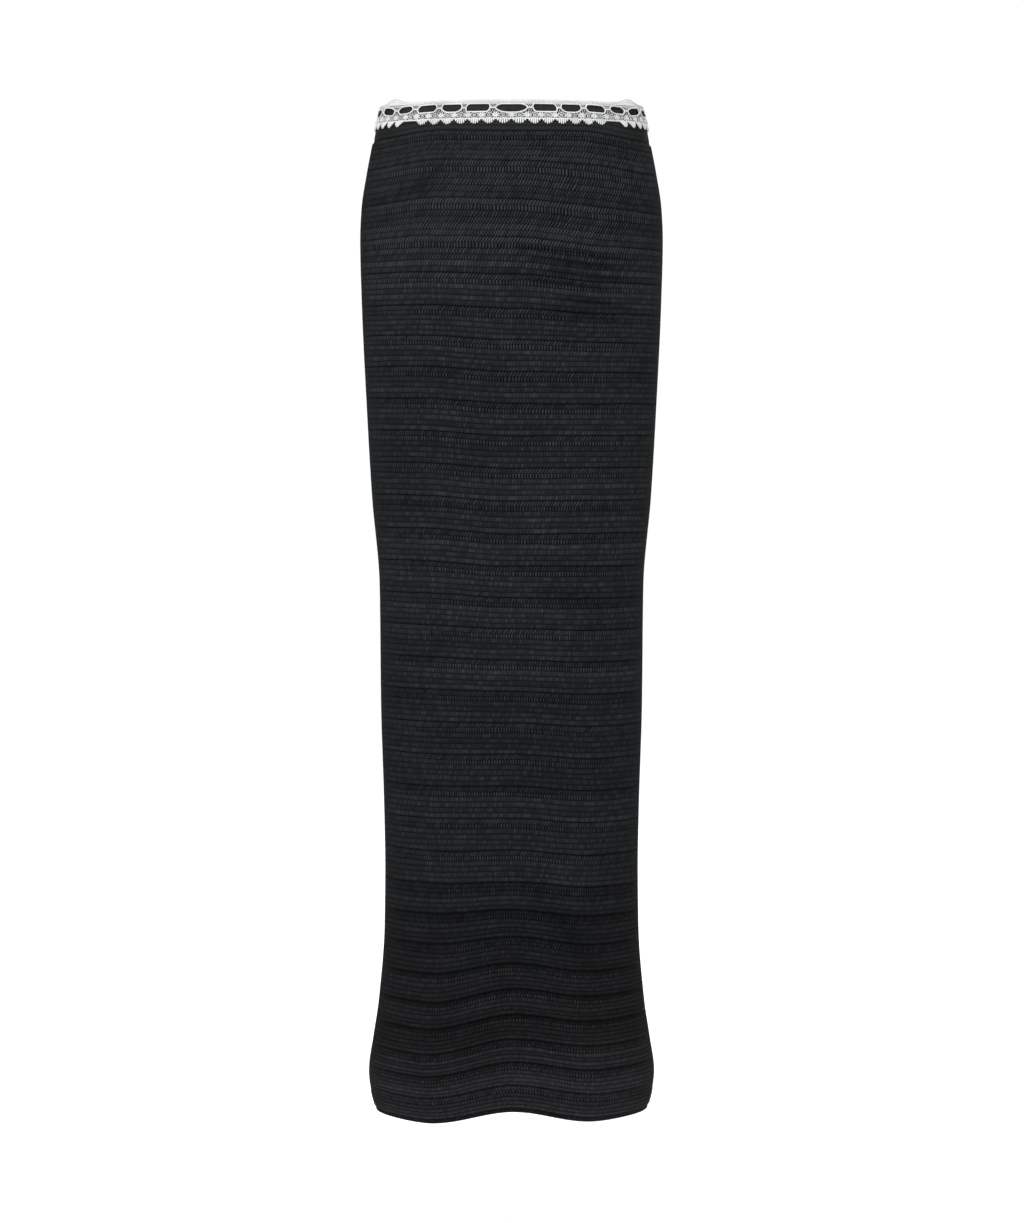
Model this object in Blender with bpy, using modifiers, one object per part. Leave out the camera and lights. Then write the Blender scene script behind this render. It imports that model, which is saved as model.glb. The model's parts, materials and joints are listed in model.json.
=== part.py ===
"""Knitted maxi pencil skirt with a white beading-lace waist, filled out as worn.

The front faces -Y, +X is to the right of someone looking at the front, and
the origin is the centre of the waist opening. Sizes are in metres. "Drop" is
a distance below the waist, measured straight down.
"""

import math

import bmesh
import bpy
import numpy as np

# --- driving dimensions ------------------------------------------------------

SEAM_GAP = 0.0003
PANEL_WALL = 0.0013
WAISTBAND_WALL = 0.0012
LACE_WALL = 0.0008

# Half width, and depth of the front and back ahead of and behind the side seams.
STATIONS = (
    # drop   half_width front  back
    (-0.008, 0.1280, 0.0988, 0.0866),
    (0.008, 0.1311, 0.1000, 0.0898),
    (0.018, 0.1334, 0.1010, 0.0920),
    (0.035, 0.1364, 0.1022, 0.0955),
    (0.070, 0.1431, 0.1045, 0.1040),
    (0.105, 0.1483, 0.1065, 0.1130),
    (0.135, 0.1496, 0.1078, 0.1190),
    (0.200, 0.1480, 0.1080, 0.1230),
    (0.300, 0.1433, 0.1040, 0.1130),
    (0.390, 0.1381, 0.0985, 0.1000),
    (0.480, 0.1305, 0.0920, 0.0910),
    (0.600, 0.1292, 0.0875, 0.0855),
    (0.700, 0.1262, 0.0852, 0.0830),
    (0.760, 0.1252, 0.0850, 0.0828),
    (0.820, 0.1259, 0.0858, 0.0840),
    (0.895, 0.1318, 0.0885, 0.0870),
    (0.930, 0.1370, 0.0905, 0.0890),
    (0.965, 0.1417, 0.0922, 0.0907),
    (0.985, 0.1398, 0.0920, 0.0905),
    (1.002, 0.1352, 0.0885, 0.0875),
)
SECTION_FULLNESS = 0.90     # below 1 squares an ellipse a little

# How far the courses of stitches hang below their centre-front level at the
# two side seams. The hem follows them.
COURSE_SAG = (
    # drop    left      right
    (0.000, 0.0040, 0.0050),
    (0.040, 0.0045, 0.0070),
    (0.083, 0.0050, 0.0105),
    (0.127, 0.0015, 0.0095),
    (0.170, -0.0022, 0.0080),
    (0.214, -0.0042, 0.0045),
    (0.257, -0.0055, 0.0010),
    (0.390, -0.0055, -0.0005),
    (0.520, -0.0030, 0.0025),
    (0.630, 0.0005, 0.0055),
    (0.740, 0.0025, 0.0070),
    (0.829, 0.0095, 0.0095),
    (0.874, 0.0130, 0.0065),
    (0.919, 0.0130, 0.0045),
    (0.963, 0.0105, 0.0060),
    (1.000, 0.0080, 0.0070),
)
SAG_REACH = 0.65            # share of the half width over which the sag sets in

# Soft lengthwise folds near the hem. Across is a share of the half width.
FOLDS = (
    # side     across  width  begins  full   depth
    ("front", -0.62, 0.30, 0.755, 0.955, 0.0125),
    ("front", 0.60, 0.30, 0.775, 0.955, 0.0110),
    ("front", 0.03, 0.32, 0.755, 0.955, -0.0215),
    ("back", -0.45, 0.28, 0.700, 0.960, 0.0100),
    ("back", 0.52, 0.30, 0.740, 0.960, 0.0090),
    ("back", 0.05, 0.26, 0.720, 0.960, -0.0130),
)

BAND_TOP = 0.0062           # drop of the waistband's top at the front and sides
BACK_RISE = 0.0050          # and how much higher it is at centre back
BAND_BOTTOM = 0.0345        # drop of the seam between waistband and panels
HEM_DROP = 0.9930           # at centre front

# One repeat of the crosswise ribs: a deep groove, a flat openwork band and a
# raised block of plain courses. The tallest repeats are over the hips.
FIRST_GROOVE = 0.0259
REPEAT_HEIGHTS = (
    # drop   height
    (0.000, 0.0370),
    (0.100, 0.0371),
    (0.150, 0.0364),
    (0.180, 0.0340),
    (0.210, 0.0303),
    (0.400, 0.0321),
    (0.500, 0.0303),
    (0.730, 0.0305),
    (0.765, 0.0280),
    (0.820, 0.0266),
    (0.905, 0.0258),
    (0.930, 0.0228),
    (1.000, 0.0226),
)
RIB_PROFILE = (
    # share of the repeat, height over the base wall
    (0.00, 0.0000),
    (0.10, 0.0004),
    (0.38, 0.0004),
    (0.46, 0.0010),
    (0.93, 0.0010),
)

PANEL_COLUMNS = 14
WAISTBAND_COLUMNS = 2 * PANEL_COLUMNS
WAISTBAND_ROWS = 4

# Beading lace: a row of oval eyelets over a band of net with a scalloped edge.
LACE_PITCH = 0.0258
LACE_FRONT_EXTRA = 0.0077   # half the extra width of the centre-front eyelet
EYELETS_EACH_SIDE = 6       # on either side of the centre one
LACE_ABOVE_BAND = 0.0012
LACE_RUCK = 0.0045          # how much higher its top stands where it rucks up
RUCK_CENTRE = 0.1290        # from the middle of the side it is on
RUCK_WIDTH = 0.0190
EYELET_AXIS = 0.0058        # below the top of the waistband
FAN_LINE = 0.0135           # where the scalloped edge's fans start
# Half a repeat from an eyelet's centre to the crossing beside it.
LACE_HALF_REPEAT = (
    # across  eyelet half height  depth of the scalloped edge
    (0.000, 0.0034, 0.0177),
    (0.245, 0.0034, 0.0212),
    (0.480, 0.0025, 0.0218),
    (0.660, 0.0000, 0.0214),
    (1.000, 0.0000, 0.0177),
)


# --- the filled-out form ------------------------------------------------------

def column(table, index):
    return np.array([row[index] for row in table])


def smooth_curve(table, index, where):
    """Cubic through the table's rows with slopes that never overshoot."""
    xs, ys = column(table, 0), column(table, index)
    secant = np.diff(ys) / np.diff(xs)
    slopes = np.zeros(len(xs))
    slopes[0], slopes[-1] = secant[0], secant[-1]
    for i in range(1, len(xs) - 1):
        before, after = secant[i - 1], secant[i]
        if before * after > 0:
            slopes[i] = 2 * before * after / (before + after)
    where = min(max(where, xs[0]), xs[-1])
    i = min(int(np.searchsorted(xs, where, side="right")) - 1, len(xs) - 2)
    step = xs[i + 1] - xs[i]
    f = (where - xs[i]) / step
    return ((1 + 2 * f) * (1 - f) ** 2 * ys[i] + f * (1 - f) ** 2 * step * slopes[i]
            + f * f * (3 - 2 * f) * ys[i + 1] - f * f * (1 - f) * step * slopes[i + 1])


def smoothstep(f):
    f = min(max(f, 0.0), 1.0)
    return f * f * (3 - 2 * f)


def course_level(side, across, drop):
    """Height of a course: across runs from -1 at the left seam to 1 at the right."""
    sag = smooth_curve(COURSE_SAG, 1 if across < 0 else 2, drop)
    reach = SAG_REACH if side == "front" else 1.0
    return -(drop + sag * smoothstep(abs(across) / reach))


def fold_depth(side, across, drop):
    depth = 0.0
    for where, centre, width, begins, full, height in FOLDS:
        if where == side:
            grown = smoothstep((drop - begins) / (full - begins))
            depth += height * grown * math.exp(-((across - centre) / width) ** 2)
    return depth * (1 - across ** 4)


def surface(side, angle, drop, level=None):
    """Point of the base form, angle from -90 degrees to 90 round one panel."""
    across = math.sin(angle)
    z = course_level(side, across, drop) if level is None else level
    half_width = smooth_curve(STATIONS, 1, -z)
    depth = smooth_curve(STATIONS, 2 if side == "front" else 3, -z)
    depth *= max(math.cos(angle), 0.0) ** SECTION_FULLNESS
    depth += fold_depth(side, across, -z)
    outward = -1 if side == "front" else 1
    y = outward * (depth + SEAM_GAP / 2)
    return np.array([half_width * across, y, z])


def outward_normal(side, angle, drop, level=None):
    """Unit normal of the base form. At a side seam it stays in the seam's plane."""
    turn, step = 0.01, 0.001
    low, high = max(angle - turn, -math.pi / 2), min(angle + turn, math.pi / 2)
    around = surface(side, high, drop, level) - surface(side, low, drop, level)
    if level is None:
        down = surface(side, angle, drop + step) - surface(side, angle, drop - step)
    else:
        down = (surface(side, angle, drop, level - step)
                - surface(side, angle, drop, level + step))
    normal = np.cross(down, around)
    if side == "back":
        normal = -normal
    if abs(angle) > math.pi / 2 - 1e-6:
        normal[1] = 0.0
        normal[0] = math.copysign(abs(normal[0]) + 1e-9, angle)
    return normal / np.linalg.norm(normal)


def panel_angles():
    return [math.pi * (i / PANEL_COLUMNS - 0.5) for i in range(PANEL_COLUMNS + 1)]


def band_top(side, angle):
    rise = BACK_RISE if side == "back" else 0.0
    return rise * math.cos(angle) ** 2 - BAND_TOP


def band_bottom(side, angle):
    """Level of the waistband's lower edge, straight between the panels' columns."""
    angles = panel_angles()
    levels = [course_level(side, math.sin(a), BAND_BOTTOM) for a in angles]
    return float(np.interp(angle, angles, levels))


# --- mesh helpers -------------------------------------------------------------

def material(name, colour, roughness):
    mat = bpy.data.materials.new(name)
    mat.use_nodes = True
    shader = mat.node_tree.nodes["Principled BSDF"]
    shader.inputs["Base Color"].default_value = (*colour, 1.0)
    shader.inputs["Roughness"].default_value = roughness
    shader.inputs["Metallic"].default_value = 0.0
    return mat


def add_object(name, points, faces, mat, collection):
    bm = bmesh.new()
    verts = [bm.verts.new(p) for p in points]
    for face in faces:
        bm.faces.new([verts[i] for i in face])
    bmesh.ops.recalc_face_normals(bm, faces=bm.faces)
    mesh = bpy.data.meshes.new(name)
    bm.to_mesh(mesh)
    bm.free()
    mesh.materials.append(mat)
    obj = bpy.data.objects.new(name, mesh)
    collection.objects.link(obj)
    return obj


def solidify(obj, thickness, outwards):
    shell = obj.modifiers.new("wall", "SOLIDIFY")
    shell.thickness = thickness
    shell.offset = 1.0 if outwards else -1.0
    shell.use_rim = True
    return obj


# --- ribbed panels ------------------------------------------------------------

def repeat_lines():
    """Drops of the deep grooves, from the one above the panel's top edge."""
    lines = [FIRST_GROOVE]
    while lines[-1] < HEM_DROP:
        middle = lines[-1] + 0.015
        lines.append(lines[-1] + float(np.interp(middle, column(REPEAT_HEIGHTS, 0),
                                                 column(REPEAT_HEIGHTS, 1))))
    return lines


def rib_height(share):
    shares = [row[0] for row in RIB_PROFILE] + [1.0]
    heights = [row[1] for row in RIB_PROFILE] + [RIB_PROFILE[0][1]]
    return float(np.interp(share, shares, heights))


def panel_bands(top, bottom):
    """For each repeat between top and bottom, its outer rows as (drop, height)."""
    bands = []
    lines = repeat_lines()
    for start, end in zip(lines, lines[1:]):
        size = end - start
        rows = [(start + share * size, height) for share, height in RIB_PROFILE]
        rows.append((end, RIB_PROFILE[0][1]))
        inside = [r for r in rows if top + 0.002 < r[0] < bottom - 0.003]
        first, last = max(start, top), min(end, bottom)
        if last - first < 0.004:
            continue
        for edge, place in ((first, 0), (last, len(inside) + 1)):
            if not any(abs(r[0] - edge) < 1e-6 for r in inside):
                inside.insert(place, (edge, rib_height((edge - start) / size)))
        bands.append(inside)
    return bands


def ribbed_panel(side, mat, collection):
    top, bottom = BAND_BOTTOM + SEAM_GAP, HEM_DROP
    bands = panel_bands(top, bottom)
    angles = panel_angles()
    points, outer_rows, inner_rows, band_of_row = [], [], [], []

    def add_row(drop, offset):
        start = len(points)
        for angle in angles:
            points.append(surface(side, angle, drop)
                          + outward_normal(side, angle, drop) * offset)
        return list(range(start, start + len(angles)))

    outer_rows.append(add_row(*bands[0][0]))
    inner_rows.append(add_row(bands[0][0][0], -PANEL_WALL))
    ends = [0]
    for band in bands:
        for drop, height in band[1:]:
            outer_rows.append(add_row(drop, height))
        inner_rows.append(add_row(band[-1][0], -PANEL_WALL))
        ends.append(len(outer_rows) - 1)

    faces = []
    for upper, lower in list(zip(outer_rows, outer_rows[1:])) + list(zip(inner_rows, inner_rows[1:])):
        faces += [(upper[i], upper[i + 1], lower[i + 1], lower[i]) for i in range(PANEL_COLUMNS)]
    for outer, inner in ((outer_rows[0], inner_rows[0]), (outer_rows[-1], inner_rows[-1])):
        faces += [(outer[i], outer[i + 1], inner[i + 1], inner[i]) for i in range(PANEL_COLUMNS)]
    for seam in (0, PANEL_COLUMNS):
        for number, (first, last) in enumerate(zip(ends, ends[1:])):
            edge = [outer_rows[r][seam] for r in range(first, last + 1)]
            faces.append(edge + [inner_rows[number + 1][seam], inner_rows[number][seam]])
    return add_object(side + "_panel", points, faces, mat, collection)


# --- waistband ----------------------------------------------------------------

def waistband(mat, collection):
    """A plain tube: its outer points are the base form, its wall goes inwards."""
    ring = []
    for side, direction in (("front", 1), ("back", -1)):
        for i in range(WAISTBAND_COLUMNS):
            ring.append((side, direction * math.pi * (i / WAISTBAND_COLUMNS - 0.5)))
    points = []
    for row in range(WAISTBAND_ROWS + 1):
        for side, angle in ring:
            high = band_top(side, angle)
            low = band_bottom(side, angle)
            level = high + (low - high) * row / WAISTBAND_ROWS
            point = surface(side, angle, 0.0, level)
            if abs(abs(angle) - math.pi / 2) < 1e-6:
                point[1] = 0.0
            points.append(point)
    count = len(ring)
    faces = []
    for row in range(WAISTBAND_ROWS):
        for i in range(count):
            j = (i + 1) % count
            faces.append((row * count + i, row * count + j,
                          (row + 1) * count + j, (row + 1) * count + i))
    return solidify(add_object("waistband", points, faces, mat, collection),
                    WAISTBAND_WALL, outwards=False)


# --- beading lace -------------------------------------------------------------

def waist_arc(side):
    """Angles round one side of the waist against distance along it from the centre."""
    angles = np.linspace(-math.pi / 2, math.pi / 2, 721)
    path = np.array([surface(side, a, 0.0, band_top(side, a)) for a in angles])
    length = np.concatenate([[0.0], np.cumsum(np.linalg.norm(np.diff(path, axis=0), axis=1))])
    return angles, length - np.interp(0.0, angles, length)


def lace_chain(side, half_length):
    """Places along the lace as (distance, eyelet half height, edge depth)."""
    extra = LACE_FRONT_EXTRA if side == "front" else 0.0
    half = LACE_PITCH / 2
    chain = []
    for number in range(-EYELETS_EACH_SIDE, EYELETS_EACH_SIDE + 1):
        centre = number * LACE_PITCH + math.copysign(extra, number) * (number != 0)
        reach = half + (extra if number == 0 else 0.0)
        for share, opening, edge in LACE_HALF_REPEAT[:0:-1]:
            chain.append((centre - share * reach, opening, edge))
        for share, opening, edge in LACE_HALF_REPEAT[:-1]:
            chain.append((centre + share * reach, opening, edge))
    last = EYELETS_EACH_SIDE * LACE_PITCH + extra + half
    chain.append((last, 0.0, LACE_HALF_REPEAT[-1][2]))
    end = half_length - SEAM_GAP / 2
    plain = (end + last) / 2
    ends = [(plain, 0.0, LACE_HALF_REPEAT[1][2]), (end, 0.0, LACE_HALF_REPEAT[1][2])]
    return [(-d, o, e) for d, o, e in reversed(ends)] + chain + ends


def lace(side, mat, collection):
    angles, arc = waist_arc(side)
    points, top, upper, lower, fans, bottom = [], [], [], [], [], []

    def add(distance, below_band_top):
        angle = float(np.interp(distance, arc, angles))
        level = band_top(side, angle) - below_band_top
        point = surface(side, angle, 0.0, level)
        points.append(point + outward_normal(side, angle, 0.0, level) * SEAM_GAP)
        return len(points) - 1

    for distance, opening, edge in lace_chain(side, float(arc[-1])):
        ruck = math.exp(-((abs(distance) - RUCK_CENTRE) / RUCK_WIDTH) ** 2)
        top.append(add(distance, -LACE_ABOVE_BAND - LACE_RUCK * ruck))
        upper.append(add(distance, EYELET_AXIS - opening))
        lower.append(upper[-1] if opening == 0.0 else add(distance, EYELET_AXIS + opening))
        fans.append(add(distance, FAN_LINE))
        bottom.append(add(distance, edge))
    faces = []
    for above, below in ((top, upper), (lower, fans), (fans, bottom)):
        faces += [(above[i], above[i + 1], below[i + 1], below[i])
                  for i in range(len(above) - 1)]
    strip = add_object("lace_" + side, points, faces, mat, collection)
    face_outwards(strip)
    return solidify(strip, LACE_WALL, outwards=True)


def face_outwards(obj):
    """Turn an open strip's faces away from the skirt's middle."""
    mesh = obj.data
    score = sum(p.normal.dot(p.center) * p.area for p in mesh.polygons)
    if score < 0:
        mesh.flip_normals()


# --- assembly -----------------------------------------------------------------

def main():
    for obj in list(bpy.data.objects):
        bpy.data.objects.remove(obj, do_unlink=True)
    collection = bpy.data.collections.new("pencil_skirt")
    bpy.context.scene.collection.children.link(collection)

    knit = material("black_rib_knit", (0.018, 0.019, 0.021), 0.85)
    band = material("black_plain_knit", (0.021, 0.022, 0.023), 0.80)
    white = material("white_lace", (0.80, 0.80, 0.79), 0.75)

    ribbed_panel("front", knit, collection)
    ribbed_panel("back", knit, collection)
    face_outwards(waistband(band, collection))
    lace("front", white, collection)
    lace("back", white, collection)


main()
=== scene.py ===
"""Looks of a knitted maxi pencil skirt with a white beading-lace waist.

The front faces -Y and the origin is the centre of the waist opening. Sizes
are in metres. "Drop" is a distance below the waist, measured straight down.
"Across" runs from -1 at the left side seam to 1 at the right one, as seen from
the front, on the front and the back alike.
"""

import json
import math

import bpy
import numpy as np
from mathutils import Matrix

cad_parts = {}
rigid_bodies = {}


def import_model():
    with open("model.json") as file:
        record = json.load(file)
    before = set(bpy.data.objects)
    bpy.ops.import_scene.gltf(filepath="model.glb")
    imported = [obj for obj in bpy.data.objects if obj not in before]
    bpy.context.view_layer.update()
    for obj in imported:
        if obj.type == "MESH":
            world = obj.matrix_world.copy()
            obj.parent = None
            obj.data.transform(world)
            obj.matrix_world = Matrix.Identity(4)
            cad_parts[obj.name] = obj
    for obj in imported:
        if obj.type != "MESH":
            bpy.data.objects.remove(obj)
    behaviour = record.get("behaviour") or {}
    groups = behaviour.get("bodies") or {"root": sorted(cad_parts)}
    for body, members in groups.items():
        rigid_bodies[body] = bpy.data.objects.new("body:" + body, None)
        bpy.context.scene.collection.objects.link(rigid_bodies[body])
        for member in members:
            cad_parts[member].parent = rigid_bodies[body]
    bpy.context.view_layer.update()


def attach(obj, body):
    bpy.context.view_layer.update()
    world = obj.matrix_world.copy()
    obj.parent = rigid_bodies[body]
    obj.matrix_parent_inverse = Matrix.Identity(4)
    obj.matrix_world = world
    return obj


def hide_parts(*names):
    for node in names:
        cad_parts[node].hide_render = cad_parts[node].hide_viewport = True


# --- sizes shared with the solid part ---

SEAM_GAP = 0.0003
PANEL_WALL = 0.0013
WAISTBAND_WALL = 0.0012

STATIONS = (
    # drop   half_width front  back
    (-0.008, 0.1280, 0.0988, 0.0866),
    (0.008, 0.1311, 0.1000, 0.0898),
    (0.018, 0.1334, 0.1010, 0.0920),
    (0.035, 0.1364, 0.1022, 0.0955),
    (0.070, 0.1431, 0.1045, 0.1040),
    (0.105, 0.1483, 0.1065, 0.1130),
    (0.135, 0.1496, 0.1078, 0.1190),
    (0.200, 0.1480, 0.1080, 0.1230),
    (0.300, 0.1433, 0.1040, 0.1130),
    (0.390, 0.1381, 0.0985, 0.1000),
    (0.480, 0.1305, 0.0920, 0.0910),
    (0.600, 0.1292, 0.0875, 0.0855),
    (0.700, 0.1262, 0.0852, 0.0830),
    (0.760, 0.1252, 0.0850, 0.0828),
    (0.820, 0.1259, 0.0858, 0.0840),
    (0.895, 0.1318, 0.0885, 0.0870),
    (0.930, 0.1370, 0.0905, 0.0890),
    (0.965, 0.1417, 0.0922, 0.0907),
    (0.985, 0.1398, 0.0920, 0.0905),
    (1.002, 0.1352, 0.0885, 0.0875),
)
SECTION_FULLNESS = 0.90     # below 1 squares an ellipse a little

# How far the courses of stitches hang below their centre level at the seams.
COURSE_SAG = (
    # drop    left      right
    (0.000, 0.0040, 0.0050),
    (0.040, 0.0045, 0.0070),
    (0.083, 0.0050, 0.0120),
    (0.127, 0.0015, 0.0105),
    (0.170, -0.0022, 0.0080),
    (0.214, -0.0042, 0.0045),
    (0.257, -0.0055, 0.0010),
    (0.390, -0.0055, -0.0005),
    (0.520, -0.0030, 0.0025),
    (0.630, 0.0005, 0.0055),
    (0.740, 0.0025, 0.0070),
    (0.829, 0.0095, 0.0095),
    (0.874, 0.0130, 0.0065),
    (0.919, 0.0130, 0.0045),
    (0.963, 0.0105, 0.0060),
    (1.000, 0.0080, 0.0070),
)
SAG_REACH = 0.65            # share of the half width over which the sag sets in

# The part of that sag that only sets in near the front's seams.
LATE_SAG = (
    # drop    left     right
    (0.000, 0.0055, 0.0050),
    (0.040, 0.0065, 0.0075),
    (0.083, 0.0070, 0.0060),
    (0.127, 0.0035, 0.0020),
    (0.170, 0.0005, 0.0000),
    (0.214, 0.0000, 0.0000),
)
LATE_FROM = 0.48

# Soft lengthwise folds near the hem, which begin at one drop and are full at another.
FOLDS = (
    # side     across  width  begins  full   depth
    ("front", -0.62, 0.30, 0.755, 0.955, 0.0125),
    ("front", 0.60, 0.30, 0.775, 0.955, 0.0110),
    ("front", 0.03, 0.32, 0.755, 0.955, -0.0215),
    ("back", -0.45, 0.28, 0.700, 0.960, 0.0100),
    ("back", 0.52, 0.30, 0.740, 0.960, 0.0090),
    ("back", 0.05, 0.26, 0.720, 0.960, -0.0130),
)

BAND_TOP = 0.0062
BACK_RISE = 0.0050
BAND_BOTTOM = 0.0345
HEM_DROP = 0.9930

FIRST_GROOVE = 0.0345
REPEAT_HEIGHTS = (
    # drop   height
    (0.050, 0.0284),
    (0.076, 0.0370),
    (0.100, 0.0371),
    (0.150, 0.0364),
    (0.180, 0.0340),
    (0.210, 0.0303),
    (0.400, 0.0321),
    (0.500, 0.0303),
    (0.742, 0.0316),
    (0.772, 0.0276),
    (0.820, 0.0268),
    (0.905, 0.0252),
    (0.930, 0.0228),
    (1.000, 0.0226),
)

LACE_PITCH = 0.0258
LACE_FRONT_EXTRA = 0.0063   # half the extra width of the centre-front eyelet
EYELETS_EACH_SIDE = 6
LACE_ABOVE_BAND = 0.0012
LACE_RUCK = 0.0045
RUCK_CENTRE = 0.1290
RUCK_WIDTH = 0.0130
EYELET_AXIS = 0.0058

# --- sizes of the detail ---

# Soft creases in the fitted cloth, from one end to the other. Depth is outward.
CREASES = (
    # side    across0 drop0  across1 drop1  width   depth
    ("front", 0.05, 0.148, 0.78, 0.159, 0.0034, -0.0022),
    ("front", 0.14, 0.158, 0.80, 0.169, 0.0032, -0.0024),
    ("front", 0.20, 0.168, 0.82, 0.180, 0.0034, -0.0028),
    ("front", -0.05, 0.175, 0.74, 0.189, 0.0036, -0.0022),
    ("front", 0.30, 0.196, 0.84, 0.207, 0.0040, -0.0022),
    ("front", 0.22, 0.206, 0.78, 0.219, 0.0050, -0.0014),
    ("front", -0.82, 0.095, -0.45, 0.075, 0.0090, -0.0012),
    ("front", 0.14, 0.762, 0.62, 0.850, 0.0110, -0.0011),
    ("front", 0.30, 0.745, 0.62, 0.790, 0.0120, 0.0008),
    ("front", -0.70, 0.545, -0.35, 0.520, 0.0100, -0.0010),
    ("front", 0.30, 0.480, 0.75, 0.500, 0.0110, -0.0010),
    ("back", -0.70, 0.300, -0.20, 0.330, 0.0100, -0.0012),
    ("back", 0.18, 0.322, 0.74, 0.292, 0.0100, -0.0011),
    ("back", -0.55, 0.352, 0.05, 0.366, 0.0090, -0.0009),
    ("back", 0.30, 0.075, 0.72, 0.105, 0.0090, -0.0009),
    ("back", -0.62, 0.790, -0.20, 0.850, 0.0130, -0.0011),
    ("back", 0.20, 0.560, 0.66, 0.585, 0.0110, -0.0014),
)

CREASE_ENDS = 0.35          # share of a crease's depth left at its ends
CREASE_SHADE = 260.0        # share of light lost for each metre of trough

SEAM_SHADE_TONE = 0.62            # painted shade: lightness left at the side seams

WALES = 134                 # stitches across one panel, the same from waist to hem
COURSES = 6                 # rows of stitches in one repeat
PANEL_COLUMNS = 100
ROW_MARGIN = 0.0004         # least distance of a row from a panel's edge
INNER_MARGIN = 0.0040       # the same for the plain inside
WANDER = 0.00028            # uneven rise and fall of a course along its length
WANDER_SEEDS = {"front": 11, "back": 12}
WANDER_WAVES = (5.0, 11.5, 18.0, 24.5, 31.0)
WANDER_DRIFT = 0.5          # change of a wave from one course to the next

# Relief of one repeat. The openwork band lies low, between two grooves.
BAND_END = 0.32             # share of the repeat that the openwork band takes
RIDGES = 4
GROOVE_FLOOR = -0.0002
BAND_HEIGHT = 0.00058
BAND_DENT = 0.00025         # the line of tiny holes across the band
DENT_WIDTH = 0.022
BAND_SHOULDER = 0.05        # share of the repeat where the band falls to the first ridge
BAND_FALL = 0.8
BAND_WALL = 0.07            # share of the repeat in which the band rises from the groove
RIDGE_HEIGHT = 0.00115
RIDGE_VALLEY = 0.00055
VALLEY_LOOSENED = 0.5       # share of that height lost near the hem
VALLEY_MOST = 0.8           # highest valley, as a share of the ridge
RELIEF_RISE = 0.008         # from the panel's top edge to its full relief
STRETCHED_TO = 0.135        # above this drop the ridges are stretched flatter
FIRM_FROM = 0.195           # and below this one they aren't
STRETCHED_RIDGE = 0.45      # share of the ridge's relief left up there
LOOSE_FROM = 0.700          # below this drop the ribs stand out more
LOOSE_TO = 0.860
LOOSE_RIDGE = 1.10
LOOSE_RECESS = 0.13         # share of the repeat that lies deep down there


# --- the filled-out form ---

def column(table, index):
    return np.array([row[index] for row in table], float)


def smooth_curve(table, index, where):
    """Cubic through the table's rows with slopes that never overshoot."""
    xs, ys = column(table, 0), column(table, index)
    secant = np.diff(ys) / np.diff(xs)
    before, after = secant[:-1], secant[1:]
    same_way = before * after > 0
    total = np.where(same_way, before + after, 1.0)
    inner = np.where(same_way, 2 * before * after / total, 0.0)
    slopes = np.concatenate([[secant[0]], inner, [secant[-1]]])
    where = np.clip(where, xs[0], xs[-1])
    i = np.clip(np.searchsorted(xs, where, side="right") - 1, 0, len(xs) - 2)
    step = xs[i + 1] - xs[i]
    f = (where - xs[i]) / step
    return ((1 + 2 * f) * (1 - f) ** 2 * ys[i] + f * (1 - f) ** 2 * step * slopes[i]
            + f * f * (3 - 2 * f) * ys[i + 1] - f * f * (1 - f) * step * slopes[i + 1])


def smoothstep(f):
    f = np.clip(f, 0.0, 1.0)
    return f * f * (3 - 2 * f)


def course_level(side, across, drop):
    """Height of a course, which sags or rises towards the side seams."""
    out = np.abs(across)

    def for_side(table):
        return np.where(across < 0, smooth_curve(table, 1, drop), smooth_curve(table, 2, drop))

    if side == "back":
        return -(drop + for_side(COURSE_SAG) * smoothstep(out))
    late = for_side(LATE_SAG)
    early = for_side(COURSE_SAG) - late
    return -(drop + early * smoothstep(out / SAG_REACH)
             + late * smoothstep((out - LATE_FROM) / (1 - LATE_FROM)))


def fold_depth(side, across, drop):
    depth = 0.0
    for where, centre, width, begins, full, height in FOLDS:
        if where == side:
            grown = smoothstep((drop - begins) / (full - begins))
            depth = depth + height * grown * np.exp(-((across - centre) / width) ** 2)
    return depth * (1 - across ** 4)


def crease_depth(side, across, drop, half_width):
    """Soft troughs and ridges, fading out at both ends."""
    depth = 0.0
    for where, across0, drop0, across1, drop1, width, height in CREASES:
        if where != side:
            continue
        run_x, run_z = (across1 - across0) * half_width, drop1 - drop0
        x, z = (across - across0) * half_width, drop - drop0
        share = (x * run_x + z * run_z) / (run_x ** 2 + run_z ** 2)
        held = np.clip(share, 0.0, 1.0)
        away = np.hypot(x - held * run_x, z - held * run_z) / width
        fade = CREASE_ENDS + (1 - CREASE_ENDS) * np.sin(np.pi * held)
        depth = depth + height * fade * np.exp(-away ** 2)
    return depth * (1 - across ** 6)


def surface(side, angle, drop, level=None):
    """Points of the base form, angle from -90 degrees to 90 round one side."""
    across = np.sin(angle)
    z = course_level(side, across, drop) if level is None else level
    half_width = smooth_curve(STATIONS, 1, -z)
    depth = smooth_curve(STATIONS, 2 if side == "front" else 3, -z)
    depth = depth * np.maximum(np.cos(angle), 0.0) ** SECTION_FULLNESS
    depth = depth + fold_depth(side, across, -z) + crease_depth(side, across, -z, half_width)
    outward = -1 if side == "front" else 1
    return np.stack(np.broadcast_arrays(half_width * across,
                                        outward * (depth + SEAM_GAP / 2), z), axis=-1)


def unit(vectors):
    return vectors / np.maximum(np.linalg.norm(vectors, axis=-1, keepdims=True), 1e-12)


def travelled(points):
    """Distance along a path from its first point to each one."""
    steps = np.linalg.norm(np.diff(points, axis=0), axis=1)
    return np.concatenate([[0.0], np.cumsum(steps)])


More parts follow.
